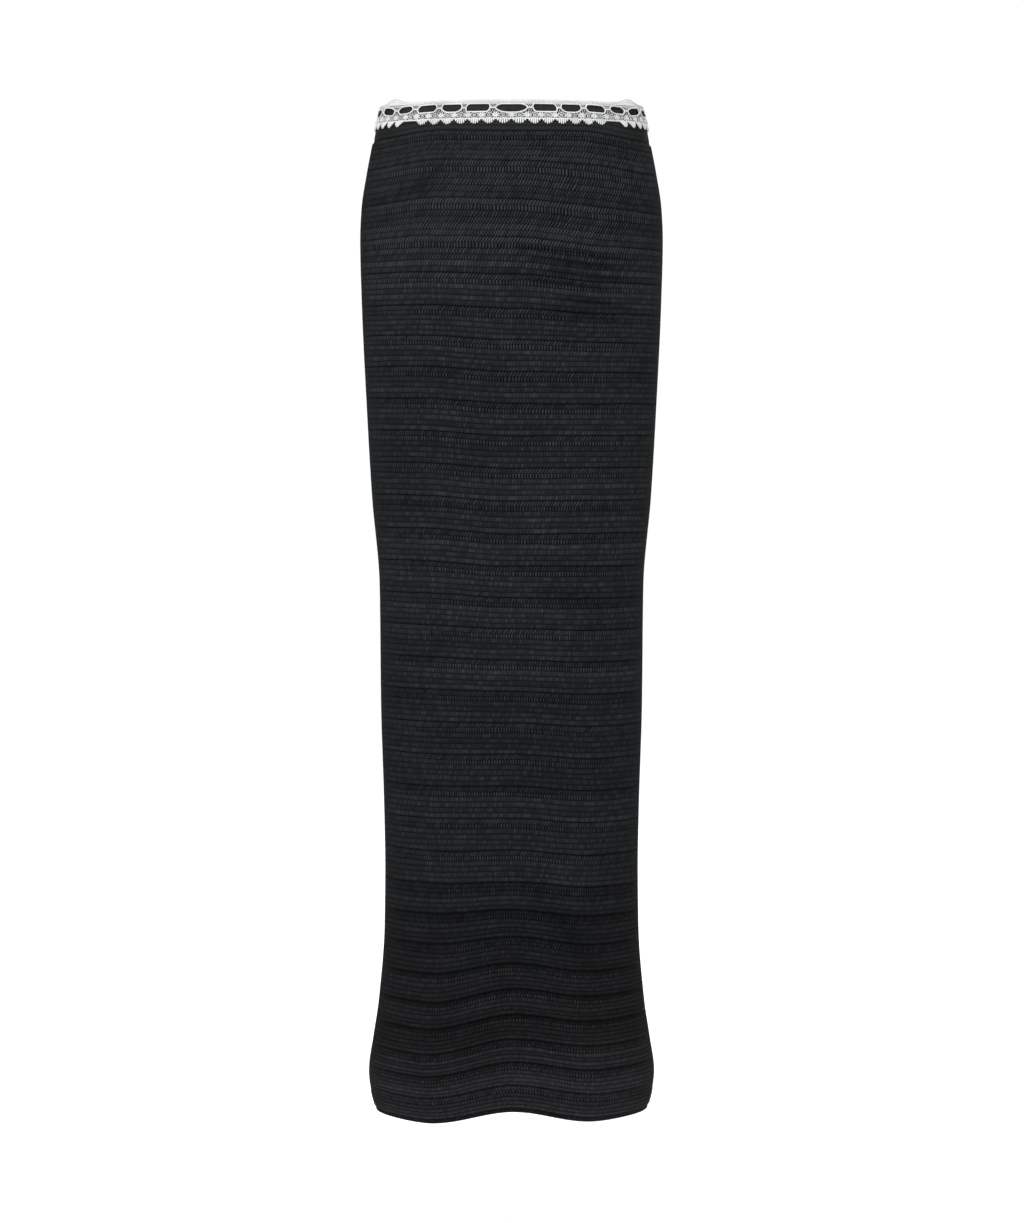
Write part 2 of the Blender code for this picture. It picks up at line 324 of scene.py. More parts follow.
def grid_normals(side, points, angles):
    """Outward normals of a grid of points, kept in the seams' plane at its edges."""
    normals = np.cross(np.gradient(points, axis=0), np.gradient(points, axis=1))
    if side == "back":
        normals = -normals
    at_seam = np.abs(np.abs(angles) - math.pi / 2) < 1e-6
    normals[:, at_seam, 1] = 0.0
    return unit(normals)


def band_top(side, angle):
    rise = BACK_RISE if side == "back" else 0.0
    return rise * np.cos(angle) ** 2 - BAND_TOP


# --- meshes ---

def new_piece(name, points, faces, mat):
    mesh = bpy.data.meshes.new(name)
    mesh.from_pydata(np.asarray(points, float).tolist(), [], faces)
    mesh.validate()
    mesh.materials.append(mat)
    mesh.shade_smooth()
    obj = bpy.data.objects.new(name, mesh)
    bpy.context.scene.collection.objects.link(obj)
    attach(obj, "root")
    return obj


def add_vectors(obj, name, values):
    attribute = obj.data.attributes.new(name, "FLOAT_VECTOR", "POINT")
    attribute.data.foreach_set("vector", np.asarray(values, np.float32).ravel())


def grid_faces(start, rows, columns, closed=False, flip=False):
    """Quads over a grid of points that starts at a given index."""
    faces = []
    for r in range(rows - 1):
        for c in range(columns if closed else columns - 1):
            d = (c + 1) % columns
            a, b = start + r * columns, start + (r + 1) * columns
            quad = (a + c, b + c, b + d, a + d)
            faces.append(quad[::-1] if flip else quad)
    return faces


class Threads:
    """Gathers swept threads into one mesh."""

    def __init__(self):
        self.points, self.faces, self.count = [], [], 0

    def sweep(self, path, normals, radius, sides=6, closed=False, flat=1.0):
        """A tube along path. flat squashes it towards the cloth it lies on."""
        path = np.asarray(path, float)
        radius = np.broadcast_to(np.asarray(radius, float), (len(path),))[:, None]
        if closed:
            tangent = unit(np.roll(path, -1, axis=0) - np.roll(path, 1, axis=0))
        else:
            tangent = unit(np.gradient(path, axis=0))
        side = unit(np.cross(tangent, normals))
        up = np.cross(side, tangent)
        for k in range(sides):
            turn = 2 * math.pi * k / sides
            spoke = math.cos(turn) * side + math.sin(turn) * flat * up
            self.points.append(path + radius * spoke)
        n, base = len(path), self.count
        for k in range(sides):
            j = (k + 1) % sides
            for i in range(n if closed else n - 1):
                m = (i + 1) % n
                self.faces.append((base + k * n + i, base + k * n + m,
                                   base + j * n + m, base + j * n + i))
        if not closed:
            self.faces.append(tuple(base + k * n for k in range(sides)))
            self.faces.append(tuple(base + k * n + n - 1 for k in range(sides - 1, -1, -1)))
        self.count += n * sides

    def piece(self, name, mat, slot):
        return new_piece(name, np.concatenate(self.points), self.faces, mat)


# --- materials ---

class Shader:
    """Short names for the nodes of one Principled material."""

    def __init__(self, name, roughness, specular):
        self.material = bpy.data.materials.new(name)
        self.material.use_nodes = True
        self.tree = self.material.node_tree
        self.principled = self.tree.nodes["Principled BSDF"]
        self.principled.inputs["Roughness"].default_value = roughness
        self.principled.inputs["Specular IOR Level"].default_value = specular

    def connect(self, value, socket):
        """Link an output to a socket, or set the socket to a number or a colour."""
        if isinstance(value, bpy.types.NodeSocket):
            self.tree.links.new(value, socket)
        else:
            socket.default_value = (*value, 1.0) if isinstance(value, tuple) else value

    def node(self, kind, inputs, **settings):
        node = self.tree.nodes.new("ShaderNode" + kind)
        for name, value in settings.items():
            setattr(node, name, value)
        for key, value in inputs.items():
            self.connect(value, node.inputs[key])
        return node

    def math(self, operation, *values):
        return self.node("Math", dict(enumerate(values)), operation=operation).outputs[0]

    def times(self, first, *others):
        for other in others:
            first = self.math("MULTIPLY", first, other)
        return first

    def plus(self, first, *others):
        for other in others:
            first = self.math("ADD", first, other)
        return first

    def minus(self, a, b):
        return self.math("SUBTRACT", a, b)

    def rest(self, share):
        """What a share leaves of one."""
        return self.minus(1.0, share)

    def between(self, share, low, high):
        """A number that goes from low to high in step with the share."""
        return self.plus(self.times(share, high - low), low)

    def hump(self, value):
        """Rises from 0 to 1 and falls back over each whole step of the value."""
        wave = self.math("SINE", self.times(self.math("FRACT", value), math.pi))
        return self.math("MAXIMUM", wave, 0.0)

    def arch(self, share):
        """0 at both ends of the share and 1 in its middle."""
        return self.math("MAXIMUM", self.times(share, self.rest(share), 4.0), 0.0)

    def range(self, value, low, high, to_low=0.0, to_high=1.0):
        """Smooth change from to_low to to_high while the value goes from low to high."""
        numbers = dict(enumerate((value, low, high, to_low, to_high)))
        return self.node("MapRange", numbers, interpolation_type="SMOOTHSTEP").outputs[0]

    def ranges(self, value, table):
        """Product of the changes in a table of low, high, to_low and to_high."""
        return self.times(*[self.range(value, *row) for row in table])

    def combine(self, *values):
        return self.node("CombineXYZ", dict(enumerate(values))).outputs[0]

    def parts(self, vector):
        return self.node("SeparateXYZ", {0: vector}).outputs

    def attribute(self, name):
        """The three parts of a vector that the mesh carries."""
        return self.parts(self.node("Attribute", {}, attribute_name=name).outputs["Vector"])

    def object_place(self):
        return self.node("TexCoord", {}).outputs["Object"]

    def noise(self, vector, scale, detail):
        inputs = {"Vector": vector, "Scale": scale, "Detail": detail}
        return self.node("TexNoise", inputs).outputs["Fac"]

    def chance(self, a, b):
        """A number from 0 to 1 of its own for every pair of whole numbers."""
        inputs = {"Vector": self.combine(a, b, 0.0)}
        return self.node("TexWhiteNoise", inputs, noise_dimensions="2D").outputs["Value"]

    def mix(self, factor, low, high):
        """Blend of two colours."""
        return self.node("Mix", {0: factor, 6: low, 7: high}, data_type="RGBA").outputs[2]

    def colour(self, factor, low, high):
        self.connect(self.mix(factor, low, high), self.principled.inputs["Base Color"])

    def bump(self, height, distance, strength):
        inputs = {"Height": height, "Distance": distance, "Strength": strength}
        self.connect(self.node("Bump", inputs).outputs[0], self.principled.inputs["Normal"])


# Looks of the rib knit. A pair is for firm cloth and for cloth stretched over the hips.
ROW_BLUR = 0.03             # courses over which one kind of row turns into the next
RIDGE_SLANT = (0.30, 1.15)  # stitches that a stroke of yarn leans by within its row
TALL_SLANT = 1.05
DRIFT = 2.2                 # stitches that a row wanders sideways
DRIFT_PER_WALE = 0.11
DRIFT_PER_ROW = 7.3
START_DRAW = 3.0            # second number of the draws for a row's start
TONE_DRAW = 9.0             # and for its lightness
STROKE_EDGE = 1.4           # powers that shape a stroke's sides and ends
STROKE_END = 0.55
BETWEEN_STROKES = 0.25      # height left between strokes
STITCH_BUMP = (0.0009, 0.9)     # height and strength
CROSSING = 0.75             # strength of the crossing strokes
GAP_SHADE_TONE = 0.04             # painted shade: lightness between strokes
GAP_ON_RIDGE = 0.58
GAP_IN_LAST = 0.30
END_SHADE_TONE = (0.26, 0.22)     # painted shade: lightness at a stroke's ends
STITCH_SPREAD = 0.70        # spread of lightness from stitch to stitch
RIDGE_EVENED = 0.45         # part of the spread that firm ridges lose
PAINTED_GLINT = 1.5                 # strength of the lightest painted highlights on the crests
PAINTED_GLINT_LEVEL = 0.20
PAINTED_GLINT_GAIN = 0.55
PAINTED_GLINT_FADE = 0.5            # part of the painted highlights lost near the hem
ROW_TONES = (0.76, 1.24)    # darkest and lightest row
# Painted shade in the line of holes and in the grooves.
HOLE_LINE = 0.45            # share of its row where the line of holes lies
HOLE_REACH = 0.25
HOLE_SHADE = 0.85
GROOVE_SHADE_TONE = (0.42, 0.58)
GROOVE_WIDTH = (0.22, 0.73)     # width of the painted groove shade in courses, on the body and near the hem
TALL_TONE = (0.80, 1.46)
HOLE_TONE = (0.90, 1.16)
RIDGE_TONE = (0.60, 1.34)
LAST_DIMMED = 0.25          # by which the last stretched ridge is darker
LEAST_SHADE = 0.5           # painted shade: lightness left in the deepest crease
SIDE_SHADE_TONE = 0.56            # even, darker tone that the stitches blend into near the seams, partly painted shade
SIDE_EVENED = 0.55
SIDE_EVENS = (0.36, 0.46)   # shares of the wales between which it sets in
# Shares of the wales between which the painted side shade sets in.
SIDE_SHADE_SPAN = (0.35, 0.48)
KNIT_TONE = 0.77
KNIT_DARK = (0.0011, 0.0012, 0.0013)
KNIT_BRIGHT = (0.0242, 0.0270, 0.0294)
KNIT_BRIGHT_LOW = (0.0238, 0.0241, 0.0262)
BRIGHT_CHANGE = (0.55, 0.95)    # drops between which the one turns into the other

# Lightness that changes with the drop: all rows, the tall row alone and the side edges. All rows darken
# towards the hem, painted shade of light that falls off downwards, and turn lighter at the hem itself; the
# sides' painted shade is darker near the waist.
TONE_STEPS = (
    # from to  before after
    (0.30, 0.95, 1.00, 0.76),
    (0.90, 0.97, 1.00, 1.88),
)
TALL_STEPS = (
    # from to  before after
    (0.73, 0.79, 1.00, 0.72),
    (0.92, 0.96, 1.00, 1.30),
)
SEAM_SHADE_STEP = (0.08, 0.22, SEAM_SHADE_TONE * 0.7, SEAM_SHADE_TONE)

# Uneven lightness in patches, small ones and broad ones.
MOTTLING = (
    # per_wale per_course draw detail darkest lightest
    (0.060, 0.21, 0.0, 2.0, 0.93, 1.07),
    (0.016, 0.05, 4.0, 1.0, 0.90, 1.10),
)


def rib_knit_material():
    """Black yarn in slanted stitches, with painted shade and painted highlights. The mesh carries (wale,
    course, drop) and the depth of its creases.
    """
    s = Shader("black_rib_knit", roughness=0.85, specular=0.02)
    wale, course, drop = s.attribute("knit")
    row = s.math("FLOOR", course)
    down = s.math("FRACT", course)
    in_repeat = s.math("MODULO", course, float(COURSES))
    past_tall, ridge, last = [s.range(in_repeat, end - ROW_BLUR, end + ROW_BLUR)
                              for end in (1, 2, COURSES - 1)]
    tall = s.rest(past_tall)
    holes = s.minus(past_tall, ridge)
    stretched = s.range(drop, STRETCHED_TO, FIRM_FROM, 1.0, 0.0)
    firm = s.rest(stretched)
    firm_ridge = s.times(ridge, firm)
    loose = s.range(drop, LOOSE_FROM, LOOSE_TO)

    # Each wale holds one stroke of yarn that leans up to the right.
    lean = s.plus(s.times(s.between(stretched, *RIDGE_SLANT), ridge), s.times(tall, TALL_SLANT))
    lean = s.times(down, lean)
    drift = s.combine(s.times(wale, DRIFT_PER_WALE), s.times(row, DRIFT_PER_ROW), 0.0)
    drift = s.times(s.noise(drift, 1.0, 1.0), DRIFT)
    phase = s.plus(wale, lean, drift, s.chance(row, START_DRAW))
    own = s.chance(s.math("FLOOR", phase), row)
    stroke = s.math("POWER", s.hump(phase), STROKE_EDGE)
    arch = s.arch(down)
    ends = s.math("POWER", arch, STROKE_END)
    s.bump(s.times(s.between(stroke, BETWEEN_STROKES, 1.0), ends), *STITCH_BUMP)

    # In the stretched cloth a second set of strokes crosses the first.
    crossing = s.rest(s.hump(s.minus(phase, s.times(lean, 2.0))))
    crossing = s.rest(s.times(crossing, stretched, CROSSING))

    # Painted shade in the gaps between strokes and at their ends: deep in the slanted rows, faint on the
    # ridges.
    gap_shade = s.plus(s.times(firm_ridge, GAP_ON_RIDGE), s.times(last, stretched, GAP_IN_LAST), GAP_SHADE_TONE)
    tone = s.times(s.range(stroke, 0.05, 0.95, gap_shade, 1.0), crossing)
    tone = s.times(tone, s.range(ends, 0.10, 0.90, s.between(stretched, *END_SHADE_TONE), 1.0))

    # Painted highlights: a few sparks on the ridges' crests.
    painted_glint = s.minus(s.times(s.math("POWER", own, 3.0), PAINTED_GLINT), PAINTED_GLINT_LEVEL)
    crest_glint = s.times(s.math("POWER", arch, 3.0), firm_ridge, painted_glint, s.between(loose, 1.0, 1.0 - PAINTED_GLINT_FADE))
    spread = s.minus(STITCH_SPREAD, s.times(firm_ridge, RIDGE_EVENED))
    uneven = s.plus(1.0, s.times(s.minus(own, 0.5), spread), s.times(crest_glint, PAINTED_GLINT_GAIN))
    tone = s.times(tone, uneven, s.between(s.chance(row, TONE_DRAW), *ROW_TONES))

    # Painted shade in a line of tiny holes, and in the deep groove between one repeat and the next.
    near = s.range(s.math("ABSOLUTE", s.minus(down, HOLE_LINE)), 0.0, HOLE_REACH, 1.0, 0.0)
    tone = s.times(tone, s.rest(s.times(near, holes, s.rest(stroke), HOLE_SHADE)))
    groove = s.math("MINIMUM", in_repeat, s.minus(float(COURSES), in_repeat))
    groove_width = s.between(loose, *GROOVE_WIDTH)
    tone = s.times(tone, s.range(groove, 0.0, groove_width, s.between(stretched, *GROOVE_SHADE_TONE), 1.0))

    # Each kind of row has its own lightness, which changes down the skirt.
    tall_tone = s.times(s.between(stretched, *TALL_TONE), s.ranges(drop, TALL_STEPS))
    ridge_tone = s.minus(s.between(stretched, *RIDGE_TONE), s.times(last, stretched, LAST_DIMMED))
    tone = s.times(tone, s.plus(s.times(ridge_tone, ridge), s.times(tall_tone, tall),
                                s.times(s.between(stretched, *HOLE_TONE), holes)))
    for per_wale, per_course, draw, detail, darkest, lightest in MOTTLING:
        patch = s.combine(s.times(wale, per_wale), s.times(course, per_course), draw)
        tone = s.times(tone, s.range(s.noise(patch, 1.0, detail), 0.30, 0.70, darkest, lightest))
    # Painted shade in the creases' troughs, and painted light on the one raised crease.
    shade = s.plus(1.0, s.times(s.attribute("crease")[0], CREASE_SHADE))
    tone = s.times(tone, s.math("MAXIMUM", shade, LEAST_SHADE))

    # Near the seams the stitches are seen on edge and blend into an even tone, and painted shade darkens
    # the sides that turn away from the light.
    out = s.times(s.math("ABSOLUTE", wale), 1.0 / WALES)
    at_side = s.times(s.range(out, *SIDE_EVENS, 0.0, SIDE_EVENED), firm)
    tone = s.plus(s.times(tone, s.rest(at_side)), s.times(at_side, SIDE_SHADE_TONE))
    tone = s.times(tone, s.range(out, *SIDE_SHADE_SPAN, 1.0, s.range(drop, *SEAM_SHADE_STEP)))
    # Painted shade deepening towards the hem, lighter again at the hem, then the overall tone.
    tone = s.times(tone, s.ranges(drop, TONE_STEPS), KNIT_TONE)
    bright = s.mix(s.range(drop, *BRIGHT_CHANGE), KNIT_BRIGHT, KNIT_BRIGHT_LOW)
    s.colour(tone, KNIT_DARK, bright)
    return s.material


def plain_knit_material():
    """Black jersey, with painted shade towards the sides. The mesh carries (wale, course, height over the
    lower edge).
    """
    s = Shader("black_plain_knit", roughness=0.75, specular=0.04)
    wale, course, height = s.attribute("knit")
    body = s.times(s.math("POWER", s.hump(wale), 0.6), s.between(s.hump(course), 0.65, 1.0))
    s.bump(body, 0.00025, 0.6)
    mottled = s.noise(s.object_place(), 160.0, 2.0)
    tone = s.times(s.range(body, 0.1, 0.9, 0.75, 1.0), s.range(mottled, 0.3, 0.7, 0.85, 1.1))

    # The wider stitches near the lower edge lean like those of the panels.
    level = s.times(height, 1.0 / WAIST_ROW)
    up = s.math("FRACT", level)
    start = s.chance(s.math("FLOOR", level), START_DRAW)
    phase = s.plus(s.minus(s.times(wale, WAIST_WALE / WAIST_STITCH), up), start)
    leaning = s.times(s.range(s.hump(phase), 0.05, 0.95, 0.25, 1.0),
                      s.range(s.arch(up), 0.05, 0.7, 0.35, 1.0))
    lower = s.range(height, 0.7 * WAIST_STRIP, WAIST_STRIP, 1.0, 0.0)
    tone = s.plus(s.times(tone, s.rest(lower)), s.times(leaning, lower))
    # Painted shade: darker towards the side seams.
    out = s.math("ABSOLUTE", s.parts(s.object_place())[0])
    tone = s.times(tone, s.range(out, *WAIST_SIDE_SHADE, 1.0, 0.35))
    s.colour(tone, (0.0010, 0.00105, 0.0011), (0.0150, 0.0160, 0.0168))
    return s.material


def yarn_material():
    s = Shader("black_yarn", roughness=0.78, specular=0.04)
    twist = s.noise(s.object_place(), 700.0, 2.0)
    s.bump(twist, 0.0003, 0.7)
    s.colour(s.range(twist, 0.3, 0.7), (0.0040, 0.0042, 0.0045), (0.0120, 0.0126, 0.0132))
    return s.material


def lace_material():
    s = Shader("white_lace", roughness=0.85, specular=0.12)
    twist = s.noise(s.object_place(), 900.0, 2.0)
    soft = s.noise(s.object_place(), 60.0, 2.0)
    s.bump(twist, 0.0003, 0.6)
    tone = s.plus(s.times(twist, 0.5), s.times(soft, 0.5))
    s.colour(s.range(tone, 0.3, 0.7), (0.40, 0.405, 0.405), (0.50, 0.505, 0.50))
    return s.material


# --- ribbed panels ---

def repeat_lines():
    """Drops of the deep grooves, from the one above the panel's top edge."""
    lines = [FIRST_GROOVE]
    drops, heights = column(REPEAT_HEIGHTS, 0), column(REPEAT_HEIGHTS, 1)
    while lines[-1] < HEM_DROP:
        lines.append(lines[-1] + float(np.interp(lines[-1] + HALF_REPEAT, drops, heights)))
    return np.array(lines)


# Shares of a repeat where a row of points lies in the openwork band.
BAND_ROWS = (0.0, 0.02, 0.05, 0.085, 0.12, 0.15, 0.175, 0.20, 0.235, 0.27, 0.30, BAND_END)
ROWS_PER_RIDGE = 5
HOLE_ROW = 0.175            # where the slanted row ends and the row of holes begins
HALF_REPEAT = 0.015         # about half the height of one


def course_of(share):
    """Course number of a share of the repeat, from 0 to COURSES."""
    ridge_starts = BAND_END + (1 - BAND_END) * np.arange(RIDGES + 1) / RIDGES
    places = np.concatenate([[0.0, HOLE_ROW], ridge_starts])
    return np.interp(share, places, np.arange(COURSES + 1))


def relief(share, drop):
    """Height of the knitted surface over the base wall."""
    firm = smoothstep((drop - STRETCHED_TO) / (FIRM_FROM - STRETCHED_TO))
    loose = smoothstep((drop - LOOSE_FROM) / (LOOSE_TO - LOOSE_FROM))
    wall = smoothstep((share - LOOSE_RECESS * loose) / BAND_WALL)
    band = GROOVE_FLOOR + (BAND_HEIGHT - GROOVE_FLOOR) * wall
    band = band - BAND_DENT * np.exp(-((share - HOLE_ROW) / DENT_WIDTH) ** 2)
    shoulder = smoothstep((share - BAND_END + BAND_SHOULDER) / BAND_SHOULDER)
    band = band - BAND_HEIGHT * BAND_FALL * shoulder
    along = (share - BAND_END) / (1 - BAND_END) * RIDGES
    crown = np.sqrt(np.abs(np.sin(np.pi * along)))
    top = RIDGE_HEIGHT * (STRETCHED_RIDGE + (1 - STRETCHED_RIDGE) * firm)
    top = top * (1 + (LOOSE_RIDGE - 1) * loose)
    outermost = (along < 0.5) | (along > RIDGES - 0.5)
    valley = np.where(outermost, 0.0, RIDGE_VALLEY * (1 - VALLEY_LOOSENED * loose))
    valley = np.minimum(valley, top * VALLEY_MOST)
    ridge = valley + (top - valley) * crown
    return np.where(share < BAND_END, band, ridge)


def panel_rows():
    """Drop, share and repeat number of every outer row, and drops of the plain inner ones."""
    count = RIDGES * ROWS_PER_RIDGE
    ridge_rows = BAND_END + (1 - BAND_END) * np.arange(1, count) / count
    shares = np.concatenate([BAND_ROWS, ridge_rows])
    lines = repeat_lines()
    top, bottom = BAND_BOTTOM + SEAM_GAP, HEM_DROP
    outer = []
    for number, (start, end) in enumerate(zip(lines, lines[1:])):
        for share in shares:
            outer.append((start + share * (end - start), share, number))
    outer = [row for row in outer if top + ROW_MARGIN < row[0] < bottom - ROW_MARGIN]

    def edge_row(drop):
        number = int(np.searchsorted(lines, drop, side="right")) - 1
        size = lines[number + 1] - lines[number]
        return (drop, (drop - lines[number]) / size, number)

    outer = [edge_row(top)] + outer + [edge_row(bottom)]
    inner = [line for line in lines if top + INNER_MARGIN < line < bottom - INNER_MARGIN]
    return np.array(outer), np.array([top] + inner + [bottom])


def row_wander(side, angles, numbers):
    """Small uneven rise and fall of each course along its length."""
    rng = np.random.default_rng(WANDER_SEEDS[side])
    height = np.zeros((len(numbers), len(angles)))
    courses = numbers - numbers.min()
    count = courses.max() + 1
    for wave, beat in enumerate(WANDER_WAVES):
        phase = np.cumsum(rng.normal(0, WANDER_DRIFT, count)) + rng.uniform(0, 6.28)
        size = rng.normal(0, 1.0, count) / (1 + wave)
        height += size[courses][:, None] * np.sin(beat * angles[None, :] + phase[courses][:, None])
    return height * WANDER


def ribbed_panel(side, mat):
    outer, inner = panel_rows()
    angles = np.linspace(-math.pi / 2, math.pi / 2, PANEL_COLUMNS + 1)
    drops, shares, numbers = outer[:, 0], outer[:, 1], outer[:, 2]
    course = course_of(shares) + COURSES * numbers

    fade = np.cos(angles)[None, :] ** 0.5 * np.ones((len(drops), 1))
    fade[0], fade[-1] = 0.0, 0.0
    wander = row_wander(side, angles, np.floor(course).astype(int)) * fade
    base = surface(side, angles[None, :], drops[:, None] + wander)
    normals = grid_normals(side, base, angles)
    rise = smoothstep((drops - drops[0]) / RELIEF_RISE)
    outside = base + normals * (rise * relief(shares, drops))[:, None, None]

    inner_base = surface(side, angles[None, :], inner[:, None])
    inside = inner_base - grid_normals(side, inner_base, angles) * PANEL_WALL

    columns = len(angles)
    rows, inner_rows = len(drops), len(inner)
    start = rows * columns
    flip = side == "back"
    # Outer and inner surface, the two edges that join them, and the two seam edges.
    faces = grid_faces(0, rows, columns, flip=flip)
    faces += grid_faces(start, inner_rows, columns, flip=not flip)
    last_inner = start + (inner_rows - 1) * columns
    for c in range(columns - 1):
        top = (c, c + 1, start + c + 1, start + c)
        low = (rows - 1) * columns + c
        bottom = (low, last_inner + c, last_inner + c + 1, low + 1)
        faces += [f[::-1] if flip else f for f in (top, bottom)]
    for seam, turned in ((0, flip), (columns - 1, not flip)):
        row = 0
        for n in range(inner_rows - 1):
            edge = [row * columns + seam]
            while row < rows - 1 and (drops[row] < inner[n + 1] - 1e-6 or n == inner_rows - 2):
                row += 1
                edge.append(row * columns + seam)
            edge += [start + (n + 1) * columns + seam, start + n * columns + seam]
            faces.append(tuple(edge if turned else edge[::-1]))
    points = np.concatenate([outside.reshape(-1, 3), inside.reshape(-1, 3)])
    obj = new_piece(side + "_panel_knit", points, faces, mat)

    def knit_values(points, course_numbers, row_drops):
        steps = np.linalg.norm(np.diff(points, axis=1), axis=2)
        along = np.concatenate([np.zeros((len(points), 1)), np.cumsum(steps, axis=1)], axis=1)
        wale = WALES * (along / along[:, -1:] - 0.5)
        ones = np.ones_like(along)
        return np.stack([wale, course_numbers[:, None] * ones, row_drops[:, None] * ones], axis=-1)

    inner_course = np.interp(inner, drops, course)
    values = np.concatenate([knit_values(base, course, drops).reshape(-1, 3),
                             knit_values(inner_base, inner_course, inner).reshape(-1, 3)])
    add_vectors(obj, "knit", values)
    # The creases' depth, which the knit material turns into painted shade.
    across = np.sin(angles)[None, :]
    level = -base[:, :, 2]
    troughs = crease_depth(side, across, level, smooth_curve(STATIONS, 1, level))
    troughs = np.concatenate([troughs.ravel(), np.zeros(inner_base[:, :, 0].size)])
    add_vectors(obj, "crease", np.stack([troughs, troughs, troughs], axis=-1))
    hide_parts(side + "_panel")
    return obj


# --- sewing ---

CHAIN_STITCH = 0.0042       # length of one loop
CHAIN_RADIUS = 0.00062
CHAIN_STEPS = 8             # points along one loop
CHAIN_SWAY = 0.72           # shares of the radius
CHAIN_LIFT = 0.5
CHAIN_LIFT_SWING = 0.3
SEAM_POINTS = 240
SEAM_LIFT = 0.0002
SEAM_MARGIN = 0.001
HEM_POINTS = 180            # on each side
HEM_SINK = 0.4              # shares of the radius and of the wall


def chain(name, mat, runs, slot):
    """Rows of linked loops in yarn along paths, each a (points, normals) pair."""
    threads = Threads()
    for points, normals in runs:
        travel = travelled(points)
        fine = np.arange(0.0, travel[-1], CHAIN_STITCH / CHAIN_STEPS)
        path = np.stack([np.interp(fine, travel, points[:, i]) for i in range(3)], axis=1)
        normal = unit(np.stack([np.interp(fine, travel, normals[:, i]) for i in range(3)], axis=1))
        sideways = unit(np.cross(np.gradient(path, axis=0), normal))
        turn = 2 * math.pi * fine / CHAIN_STITCH
        for phase in (0.0, math.pi):
            sway = CHAIN_RADIUS * CHAIN_SWAY * np.sin(turn + phase)
            lift = CHAIN_RADIUS * (CHAIN_LIFT + CHAIN_LIFT_SWING * np.cos(turn + phase))
            loop = path + sideways * sway[:, None] + normal * lift[:, None]
            threads.sweep(loop, normal, CHAIN_RADIUS, sides=5)
    return threads.piece(name, mat, slot)


def side_seams(mat):
    """The linked side seams, from under the waistband to the hem."""
    runs = []
    for right in (-1, 1):
        drops = np.linspace(BAND_BOTTOM + SEAM_MARGIN, HEM_DROP - SEAM_MARGIN, SEAM_POINTS)
        points = surface("front", np.full(SEAM_POINTS, right * math.pi / 2), drops)
        points[:, 1] = 0.0
        points[:, 0] += right * SEAM_LIFT
        normals = np.tile([float(right), 0.0, 0.0], (SEAM_POINTS, 1))
        runs.append((points, normals))
    return chain("side_seam_yarn", mat, runs, "rib_knit")


def hem_chain(mat):
    """The bound-off edge of stitches round the hem."""
    runs = []
    for side in ("front", "back"):
        angles = np.linspace(-math.pi / 2, math.pi / 2, HEM_POINTS)
        points = surface(side, angles, HEM_DROP)
        inwards = points * np.array([-1.0, -1.0, 0.0])
        points = points + unit(inwards) * PANEL_WALL * HEM_SINK
        points[:, 2] -= CHAIN_RADIUS * HEM_SINK
        normals = np.tile([0.0, 0.0, -1.0], (HEM_POINTS, 1))
        runs.append((points, normals))
    return chain("hem_bind_off_yarn", mat, runs, "rib_knit")


# --- waistband ---

WAISTBAND_COLUMNS = 150     # on each side
WAISTBAND_ROWS = 10
WAIST_WALE = 0.0014         # pitch of the fine stitches
WAIST_COURSE = 0.0018
WAIST_STITCH = 0.0031       # pitch of the wider ones near the lower edge
WAIST_ROW = 0.0052
WAIST_STRIP = 0.0150        # height of the strip that has them
WAIST_SIDE_SHADE = (0.100, 0.137)  # distances from the centre between which painted shade darkens it towards the sides
EDGE_ROUNDING = 0.0004      # of the waistband's two edges
EDGE_SHARE = 0.12           # share of its height that each one takes


OUTWARD_LEAN = np.array([1.0, 1.7, 0.0])    # turns a place on the waist into its outward


def ring_angles(columns):
    steps = math.pi * (np.arange(columns) / columns - 0.5)
    return [("front", steps), ("back", -steps)]


def waistband(mat):
    """A plain tube with rounded edges, a little fuller in its middle."""
    rings, inner_rings = [], []
    for row in range(WAISTBAND_ROWS + 1):
        share = row / WAISTBAND_ROWS
        outer, inner = [], []
        for side, angles in ring_angles(WAISTBAND_COLUMNS):
            high = band_top(side, angles)
            low = course_level(side, np.sin(angles), BAND_BOTTOM)
            level = high + (low - high) * share
            points = surface(side, angles, 0.0, level)
            points[np.abs(np.abs(angles) - math.pi / 2) < 1e-6, 1] = 0.0
            outward = unit(points * OUTWARD_LEAN)
            rounding = EDGE_ROUNDING * max(1 - min(share, 1 - share) / EDGE_SHARE, 0.0) ** 2
            outer.append(points - outward * rounding)
            inner.append(points - outward * WAISTBAND_WALL)
        rings.append(np.concatenate(outer))
        inner_rings.append(np.concatenate(inner))
    columns = len(rings[0])
    rows = len(rings)
    points = np.concatenate(rings + inner_rings)
    start = rows * columns
    faces = grid_faces(0, rows, columns, closed=True)
    faces += grid_faces(start, rows, columns, closed=True, flip=True)
    for c in range(columns):
        d = (c + 1) % columns
        low = (rows - 1) * columns
        faces.append((c, d, start + d, start + c))
        faces.append((low + c, start + low + c, start + low + d, low + d))
    obj = new_piece("waistband_knit", points, faces, mat)
    ring = np.concatenate([rings[0], rings[0][:1]])
    along = travelled(ring)
    count = 2 * rows
    values = np.zeros((count, columns, 3))
    heights = points.reshape(count, columns, 3)[:, :, 2]
    values[:, :, 0] = along[None, :-1] / WAIST_WALE
    values[:, :, 1] = -heights / WAIST_COURSE
    values[:, :, 2] = heights - heights[rows - 1][None, :]
    add_vectors(obj, "knit", values.reshape(-1, 3))
    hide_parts("waistband")
    return obj, float(along[-1])


# --- beading lace ---

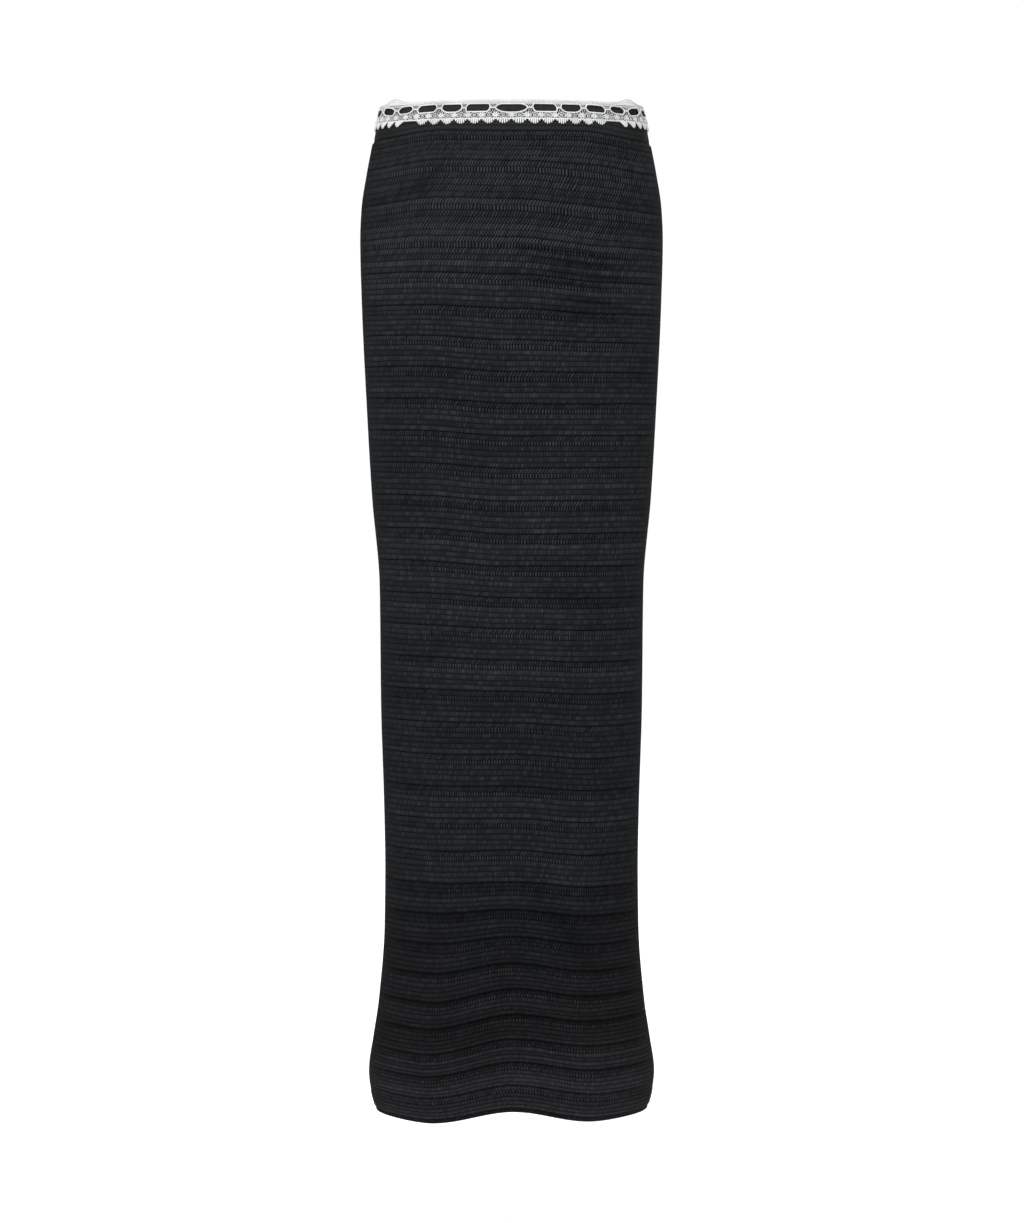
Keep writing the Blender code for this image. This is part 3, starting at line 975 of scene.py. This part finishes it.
class WaistStrip(Threads):
    """Threads laid along the waist from its centre, below the band's top and out from it."""

    def __init__(self, side):
        super().__init__()
        self.side = side
        self.angles = np.linspace(-math.pi / 2, math.pi / 2, 721)
        path = surface(side, self.angles, 0.0, band_top(side, self.angles))
        self.along = travelled(path)
        self.along -= np.interp(0.0, self.angles, self.along)
        self.reach = float(self.along[-1]) - SEAM_GAP / 2

    def place(self, along, below, out):
        along = np.clip(along, -self.reach, self.reach)
        below, out = np.broadcast_arrays(below, out, along)[:2]
        angle = np.interp(along, self.along, self.angles)
        level = band_top(self.side, angle) - below
        point = surface(self.side, angle, 0.0, level)
        normal = self.normal(angle, level)
        return point + normal * out[..., None], normal

    def lay(self, along, below, out, radius, **shape):
        self.sweep(*self.place(along, below, out), radius, **shape)

    def normal(self, angle, level):
        turn, step = 0.004, 0.0005

        def at(angle, level):
            return surface(self.side, angle, 0.0, level)

        around = (at(np.minimum(angle + turn, math.pi / 2), level)
                  - at(np.maximum(angle - turn, -math.pi / 2), level))
        down = at(angle, level - step) - at(angle, level + step)
        normal = unit(np.cross(down, around))
        return -normal if self.side == "back" else normal


CORD = 0.00070              # radius of the thick outline cords
NET = 0.00020
LACE_LIFT = 0.0006          # of the threads' middles over the waistband
FAN_ROOT = 0.0163           # depth of the close line that the fans hang from
FAN_FIRST = 0.0149          # width of the fans beside the centre front
FAN_PITCH = 0.0133
STAR_LINE = 0.0129          # depth of the row of stars and medallions
FAN_FINGERS = 6
FAN_SEEDS = {"front": 21, "back": 22}
FAN_UNEVEN = (0.92, 1.06)   # shortest and longest finger
FAN_LENGTH = 0.0049
FAN_ROUNDING = 0.80         # how much shorter the outer fingers are
FINGER_RADIUS = 0.00084
FINGER_SHAPE = np.array([
    # share width
    (0.00, 0.80),
    (0.35, 1.00),
    (0.70, 1.05),
    (0.90, 0.85),
    (1.00, 0.35),
])
FINGER_OUT = 0.0002         # over the other threads, and the bow in its middle
FINGER_BOW = 0.0003
FINGER_FLAT = 0.8
FINGER_OVERLAP = 0.0004     # of its root and the line that it hangs from
FINGER_ROOT = 0.62          # places of the outermost root and tip in half a fan
FINGER_TIP = 0.76
PLAIN_EDGE = (0.0950, 0.1135)   # stretch of the front's edge with no fans
PETAL_PITCH = 0.0125        # petals lean outwards beyond it
PETAL_LOOPS = 5
PETAL_HALF = 0.0036         # half the width of a petal's root
PETAL_LEAN = 0.0048
PETAL_SPREAD = 0.0024
PETAL_LENGTH = 0.0054
PETAL_RADIUS = 0.00100
PETAL_ROUNDING = 0.55
PETAL_OVERLAP = 0.0006
PETAL_MARGIN = 0.004        # least distance of a petal from the side seam
ROOT_CORD = (LACE_LIFT + 0.0003, 0.00075, 0.0002, 0.0032)   # out, radius, wobble and beat
STAR_RAYS = 8
STAR_SQUASH = 0.80          # height of a star for its width
STAR_RAY = np.array([
    # reach   lift    radius
    (0.0003, 0.0006, 0.00060),
    (0.0020, 0.0005, 0.00074),
    (0.0040, 0.0002, 0.00045),
])
RINGS = ((1.0, 0.00030), (0.32, 0.00034))   # size and thread of a medallion's rings
RING_OUT = 0.0003
MEDALLION = (0.0036, 0.0025)    # half width and half height of the outer ring
CORD_STEP = 0.0012
CORD_OUT = 0.0005           # of the outline cords beyond the other threads
CORD_PASS = 0.0004          # and of one cord over the other where they cross
TOP_ROWS = 4
TOP_SPAN = 0.0041           # from the eyelets' axis to the lowest row of the top band
PICOT_PITCH = 0.0026
PICOT = 0.0010              # radius of one picot loop
PICOT_THREAD = 0.00030
TOP_THREAD = 0.00040
TOP_WAVE = 0.00022          # height and lengths of the waves in the top band's rows
TOP_BEAT = 0.0031
TOP_BEAT_STEP = 0.0003
NET_LEAN = 0.0050           # sideways run of a net thread
NET_CLEAR = 0.0003          # overlap of the net and the outline cords
NET_PASS = 0.0001           # of one set of the net's threads over the other
NET_MARGIN = 0.008          # how far outside the strip the first thread starts
NET_PITCHES = (0.0019, 0.0023)  # over and under the eyelets

# How far each eyelet differs from a plain lens, counted from the centre front.
# Its cords meet at "reach", a share of the half pitch.
EYELET_SHAPES = (
    # reach top_flat bottom_flat top_height bottom_height lean tilt
    (0.80, 0.42, 0.15, 0.0037, 0.0048, 0.0000, 0.0000),
    (0.91, 0.68, 0.70, 0.0040, 0.0040, 0.0014, 0.0000),
    (0.80, 0.66, 0.22, 0.0040, 0.0042, 0.0000, 0.0000),
    (0.82, 0.50, 0.54, 0.0040, 0.0038, 0.0008, 0.0005),
    (0.74, 0.26, 0.26, 0.0038, 0.0038, 0.0006, 0.0006),
    (0.86, 0.30, 0.30, 0.0040, 0.0042, -0.0016, -0.0012),
    (0.84, 0.40, 0.40, 0.0038, 0.0038, 0.0000, 0.0000),
)


class Eyelets:
    """The row of openings: how far the cords above and below them lie from the axis."""

    def __init__(self, side):
        extra = LACE_FRONT_EXTRA if side == "front" else 0.0
        self.cells = []
        for number in range(-EYELETS_EACH_SIDE, EYELETS_EACH_SIDE + 1):
            centre = number * LACE_PITCH + math.copysign(extra, number) * (number != 0)
            half = LACE_PITCH / 2 + (extra if number == 0 else 0.0)
            shape = EYELET_SHAPES[abs(number)] if side == "front" else EYELET_SHAPES[2]
            mirror = -1.0 if number > 0 else 1.0
            self.cells.append((centre, half, shape, mirror))

    def cord(self, cell, steps, low):
        """Along and below for steps from -1 to 1 of a cell's upper or lower cord."""
        centre, half, shape, mirror = cell
        reach, top_flat, bottom_flat, top_height, bottom_height, lean, tilt = shape
        flat, height = (bottom_flat, bottom_height) if low else (top_flat, top_height)
        round_end = np.clip((np.abs(steps) - flat) / (reach - flat), 0.0, 1.0)
        away = height * (1 - round_end ** 2) ** 0.62
        sign = 1.0 if low else -1.0
        fade = 1 - steps ** 4
        along = centre + steps * half - mirror * lean * sign * fade * away / height
        below = EYELET_AXIS + sign * away - mirror * tilt * steps * fade
        return along, below

    def opening(self, along):
        """Depths of the upper and lower cord over any place along the lace."""
        upper = np.full_like(along, EYELET_AXIS)
        lower = np.full_like(along, EYELET_AXIS)
        steps = np.sin(np.linspace(-math.pi / 2, math.pi / 2, 41))
        for cell in self.cells:
            within = np.abs(along - cell[0]) < cell[1]
            for low, level in ((False, upper), (True, lower)):
                place, below = self.cord(cell, steps, low)
                level[within] = np.interp(along[within], place, below)
        return upper, lower


def outline_cords(strip, eyelets):
    """Two cords that part round each eyelet and cross between one and the next."""
    steps = np.sin(np.linspace(-math.pi / 2, math.pi / 2, 31))
    for start_low in (True, False):
        along, below, out = [], [], []
        low = start_low
        for cell in eyelets.cells:
            place, level = eyelets.cord(cell, steps, low)
            along.append(place)
            below.append(level)
            crossed = CORD_PASS * np.abs(steps) ** 6
            out.append(LACE_LIFT + CORD_OUT + (crossed if low else -crossed))
            low = not low
        route = [np.concatenate(values) for values in (along, below, out)]
        strip.lay(*route, CORD)


def top_edge(along):
    """The lace's upper edge, rucked up near the side seams."""
    ruck = LACE_RUCK * np.exp(-((np.abs(along) - RUCK_CENTRE) / RUCK_WIDTH) ** 2)
    return -LACE_ABOVE_BAND - ruck


def straight_cord(strip, below, out, radius, wobble, beat):
    along = np.arange(-strip.reach, strip.reach, CORD_STEP)
    level = below(along) + wobble * np.sin(2 * math.pi * along / beat)
    strip.lay(along, level, out, radius, sides=5)


def top_band(strip):
    """Close rows of thread over the eyelets, with a picot edge."""
    for row in range(TOP_ROWS):
        share = row / (TOP_ROWS - 1)

        def level(along):
            high = top_edge(along)
            return high + share * (EYELET_AXIS - TOP_SPAN - high)

        straight_cord(strip, level, LACE_LIFT, TOP_THREAD, TOP_WAVE, TOP_BEAT + TOP_BEAT_STEP * row)
    turn = np.linspace(0, math.pi, 7)
    count = int(strip.reach / PICOT_PITCH)
    for k in range(-count, count + 1):
        centre = k * PICOT_PITCH
        below = top_edge(centre) - PICOT * np.sin(turn)
        strip.lay(centre - PICOT * np.cos(turn), below, LACE_LIFT, PICOT_THREAD, sides=4)


def net(strip, eyelets, high, low, pitch):
    """Crossing slanted threads between two depths, kept clear of the openings."""
    reach = strip.reach
    for lean in (1, -1):
        for start in np.arange(-reach - NET_MARGIN, reach + NET_MARGIN, pitch):
            share = np.linspace(0, 1, 9)
            along = start + lean * share * NET_LEAN
            level = high(along) + share * (low - high(along))
            upper, lower = eyelets.opening(along)
            clear = (level < upper + NET_CLEAR) | (level > lower - NET_CLEAR)
            keep = (np.abs(along) < reach) & clear
            for run in np.split(np.arange(len(along)), np.flatnonzero(np.diff(keep)) + 1):
                if keep[run[0]] and len(run) > 1:
                    strip.lay(along[run], level[run], LACE_LIFT - NET_PASS * lean, NET, sides=4)


def fan_edges(strip):
    """Places of the notches between fans, from one side seam to the other."""
    right = np.arange(FAN_FIRST, strip.reach, FAN_PITCH)
    return np.concatenate([-right[::-1], [0.0], right])


def stars_and_medallions(strip):
    """Under the eyelets: a white star over each notch, a small ring over each fan."""
    edges = fan_edges(strip)
    reach, lift, radius = STAR_RAY.T
    for notch in edges:
        for ray in range(STAR_RAYS):
            turn = 2 * math.pi * (ray + 0.5) / STAR_RAYS
            below = STAR_LINE + STAR_SQUASH * reach * math.sin(turn)
            strip.lay(notch + reach * math.cos(turn), below, LACE_LIFT + lift, radius, sides=5)
    wide, high = MEDALLION
    turn = np.linspace(0, 2 * math.pi, 13)[:-1]
    for middle in (edges[:-1] + edges[1:]) / 2:
        for size, ring_radius in RINGS:
            below = STAR_LINE + size * high * np.sin(turn)
            along = middle + size * wide * np.cos(turn)
            strip.lay(along, below, LACE_LIFT + RING_OUT, ring_radius, sides=4, closed=True)


def finger(strip, root, tip, root_depth, tip_depth, radius):
    """One short rounded loop of thread that ends an edge."""
    steps, width = FINGER_SHAPE.T
    below = root_depth + steps * (tip_depth - root_depth)
    out = LACE_LIFT + FINGER_OUT + FINGER_BOW * np.sin(np.pi * steps)
    strip.lay(root + steps * (tip - root), below, out, radius * width, flat=FINGER_FLAT)


def fans(strip, side, rng):
    """The scalloped edge: a fan of short fingers under each medallion."""
    edges = fan_edges(strip)
    for start, end in zip(edges, edges[1:]):
        middle, half = (start + end) / 2, (end - start) / 2
        if side == "front" and abs(middle) > PLAIN_EDGE[0]:
            continue
        for number in range(FAN_FINGERS):
            lean = 2 * number / (FAN_FINGERS - 1) - 1
            length = FAN_LENGTH * math.sqrt(1 - FAN_ROUNDING * lean ** 2) * rng.uniform(*FAN_UNEVEN)
            finger(strip, middle + lean * half * FINGER_ROOT, middle + lean * half * FINGER_TIP,
                   FAN_ROOT - FINGER_OVERLAP, FAN_ROOT + length, FINGER_RADIUS)
    if side == "back":
        return
    for sign in (-1, 1):
        for root in np.arange(PLAIN_EDGE[1], strip.reach - PETAL_MARGIN, PETAL_PITCH):
            for part in np.linspace(-1, 1, PETAL_LOOPS):
                tip = root + PETAL_LEAN + part * PETAL_SPREAD
                length = PETAL_LENGTH * math.sqrt(1 - PETAL_ROUNDING * part ** 2)
                finger(strip, sign * (root + part * PETAL_HALF), sign * tip,
                       FAN_ROOT - PETAL_OVERLAP, FAN_ROOT + length, PETAL_RADIUS)


def lace(side, mat):
    strip = WaistStrip(side)
    eyelets = Eyelets(side)
    outline_cords(strip, eyelets)
    top_band(strip)
    net(strip, eyelets, top_edge, EYELET_AXIS, NET_PITCHES[0])
    net(strip, eyelets, lambda a: np.full_like(a, EYELET_AXIS), FAN_ROOT, NET_PITCHES[1])
    stars_and_medallions(strip)
    straight_cord(strip, lambda a: np.full_like(a, FAN_ROOT), *ROOT_CORD)
    fans(strip, side, np.random.default_rng(FAN_SEEDS[side]))
    obj = strip.piece("lace_" + side + "_threads", mat, "lace")
    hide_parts("lace_" + side)
    return obj, 2 * strip.reach


# --- stage ---

CAMERA_PLACE = (0.0005, -3.5, -0.300)
CAMERA_TILT = 1.4           # degrees below level
SENSOR = 36.0               # mm
PHOTO_HEIGHT = 1223         # rows
FOCAL_ROWS = 3507.8         # focal length counted in the photograph's rows
AXIS_ROW = 491.2            # the row that the camera points at
FLOOR_BELOW_HEM = 0.16
FLOOR_REACH = 30.0
FLOOR_TONE = 0.97
SKY_STRENGTH = 1.04

LIGHTS = (
    # name     place             aim                size  power
    ("key", (-0.8, -2.2, 2.2), (0.0, 0.0, -0.35), 0.8, 110.0),
    ("fill", (1.4, -2.6, -0.6), (0.0, 0.0, -0.85), 1.4, 10.0),
    ("rear", (1.2, 2.6, 1.8), (0.0, 0.0, -0.4), 1.0, 40.0),
)


def add_object(name, data):
    obj = bpy.data.objects.new(name, data)
    bpy.context.scene.collection.objects.link(obj)
    return obj


def place_camera():
    camera = bpy.data.cameras.new("camera")
    camera.sensor_width = SENSOR
    camera.lens = SENSOR * FOCAL_ROWS / PHOTO_HEIGHT
    camera.shift_y = (AXIS_ROW - PHOTO_HEIGHT / 2) / PHOTO_HEIGHT
    eye = add_object("camera", camera)
    eye.location = CAMERA_PLACE
    eye.rotation_euler = (math.pi / 2 - math.radians(CAMERA_TILT), 0.0, 0.0)
    bpy.context.scene.camera = eye


def lay_floor():
    shader = Shader("pale_floor", roughness=0.9, specular=0.0)
    shader.connect((FLOOR_TONE, FLOOR_TONE, FLOOR_TONE), shader.principled.inputs["Base Color"])
    level = -HEM_DROP - FLOOR_BELOW_HEM
    corners = [(x * FLOOR_REACH, y * FLOOR_REACH, level) for x, y in ((-1, -1), (1, -1), (1, 1), (-1, 1))]
    mesh = bpy.data.meshes.new("floor")
    mesh.from_pydata(corners, [], [(0, 1, 2, 3)])
    mesh.materials.append(shader.material)
    add_object("floor", mesh)


def light_up():
    world = bpy.data.worlds.new("studio")
    world.use_nodes = True
    sky = world.node_tree.nodes["Background"].inputs
    sky["Color"].default_value = (1.0, 1.0, 1.0, 1.0)
    sky["Strength"].default_value = SKY_STRENGTH
    bpy.context.scene.world = world
    for name, place, aim, size, power in LIGHTS:
        light = bpy.data.lights.new(name, "AREA")
        light.shape = "DISK"
        light.size = size
        light.energy = power
        obj = add_object(name, light)
        obj.location = place
        x, y, z = np.subtract(aim, place)
        obj.rotation_euler = (math.atan2(z, math.hypot(x, y)) + math.pi / 2, 0.0, -math.atan2(x, y))


# --- assembly ---

def dress():
    """Every piece of the skirt; the panels, waistband and lace hide the solid parts that they replace."""
    knit = rib_knit_material()
    panels = [ribbed_panel(side, knit) for side in ("front", "back")]
    yarn = yarn_material()
    seams = side_seams(yarn)
    hem = hem_chain(yarn)
    band, girth = waistband(plain_knit_material())
    white = lace_material()
    for side in ("front", "back"):
        trim, length = lace(side, white)


for default in list(bpy.data.objects):
    bpy.data.objects.remove(default, do_unlink=True)
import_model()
dress()
bpy.context.scene.view_settings.view_transform = "Standard"
place_camera()
light_up()
lay_floor()
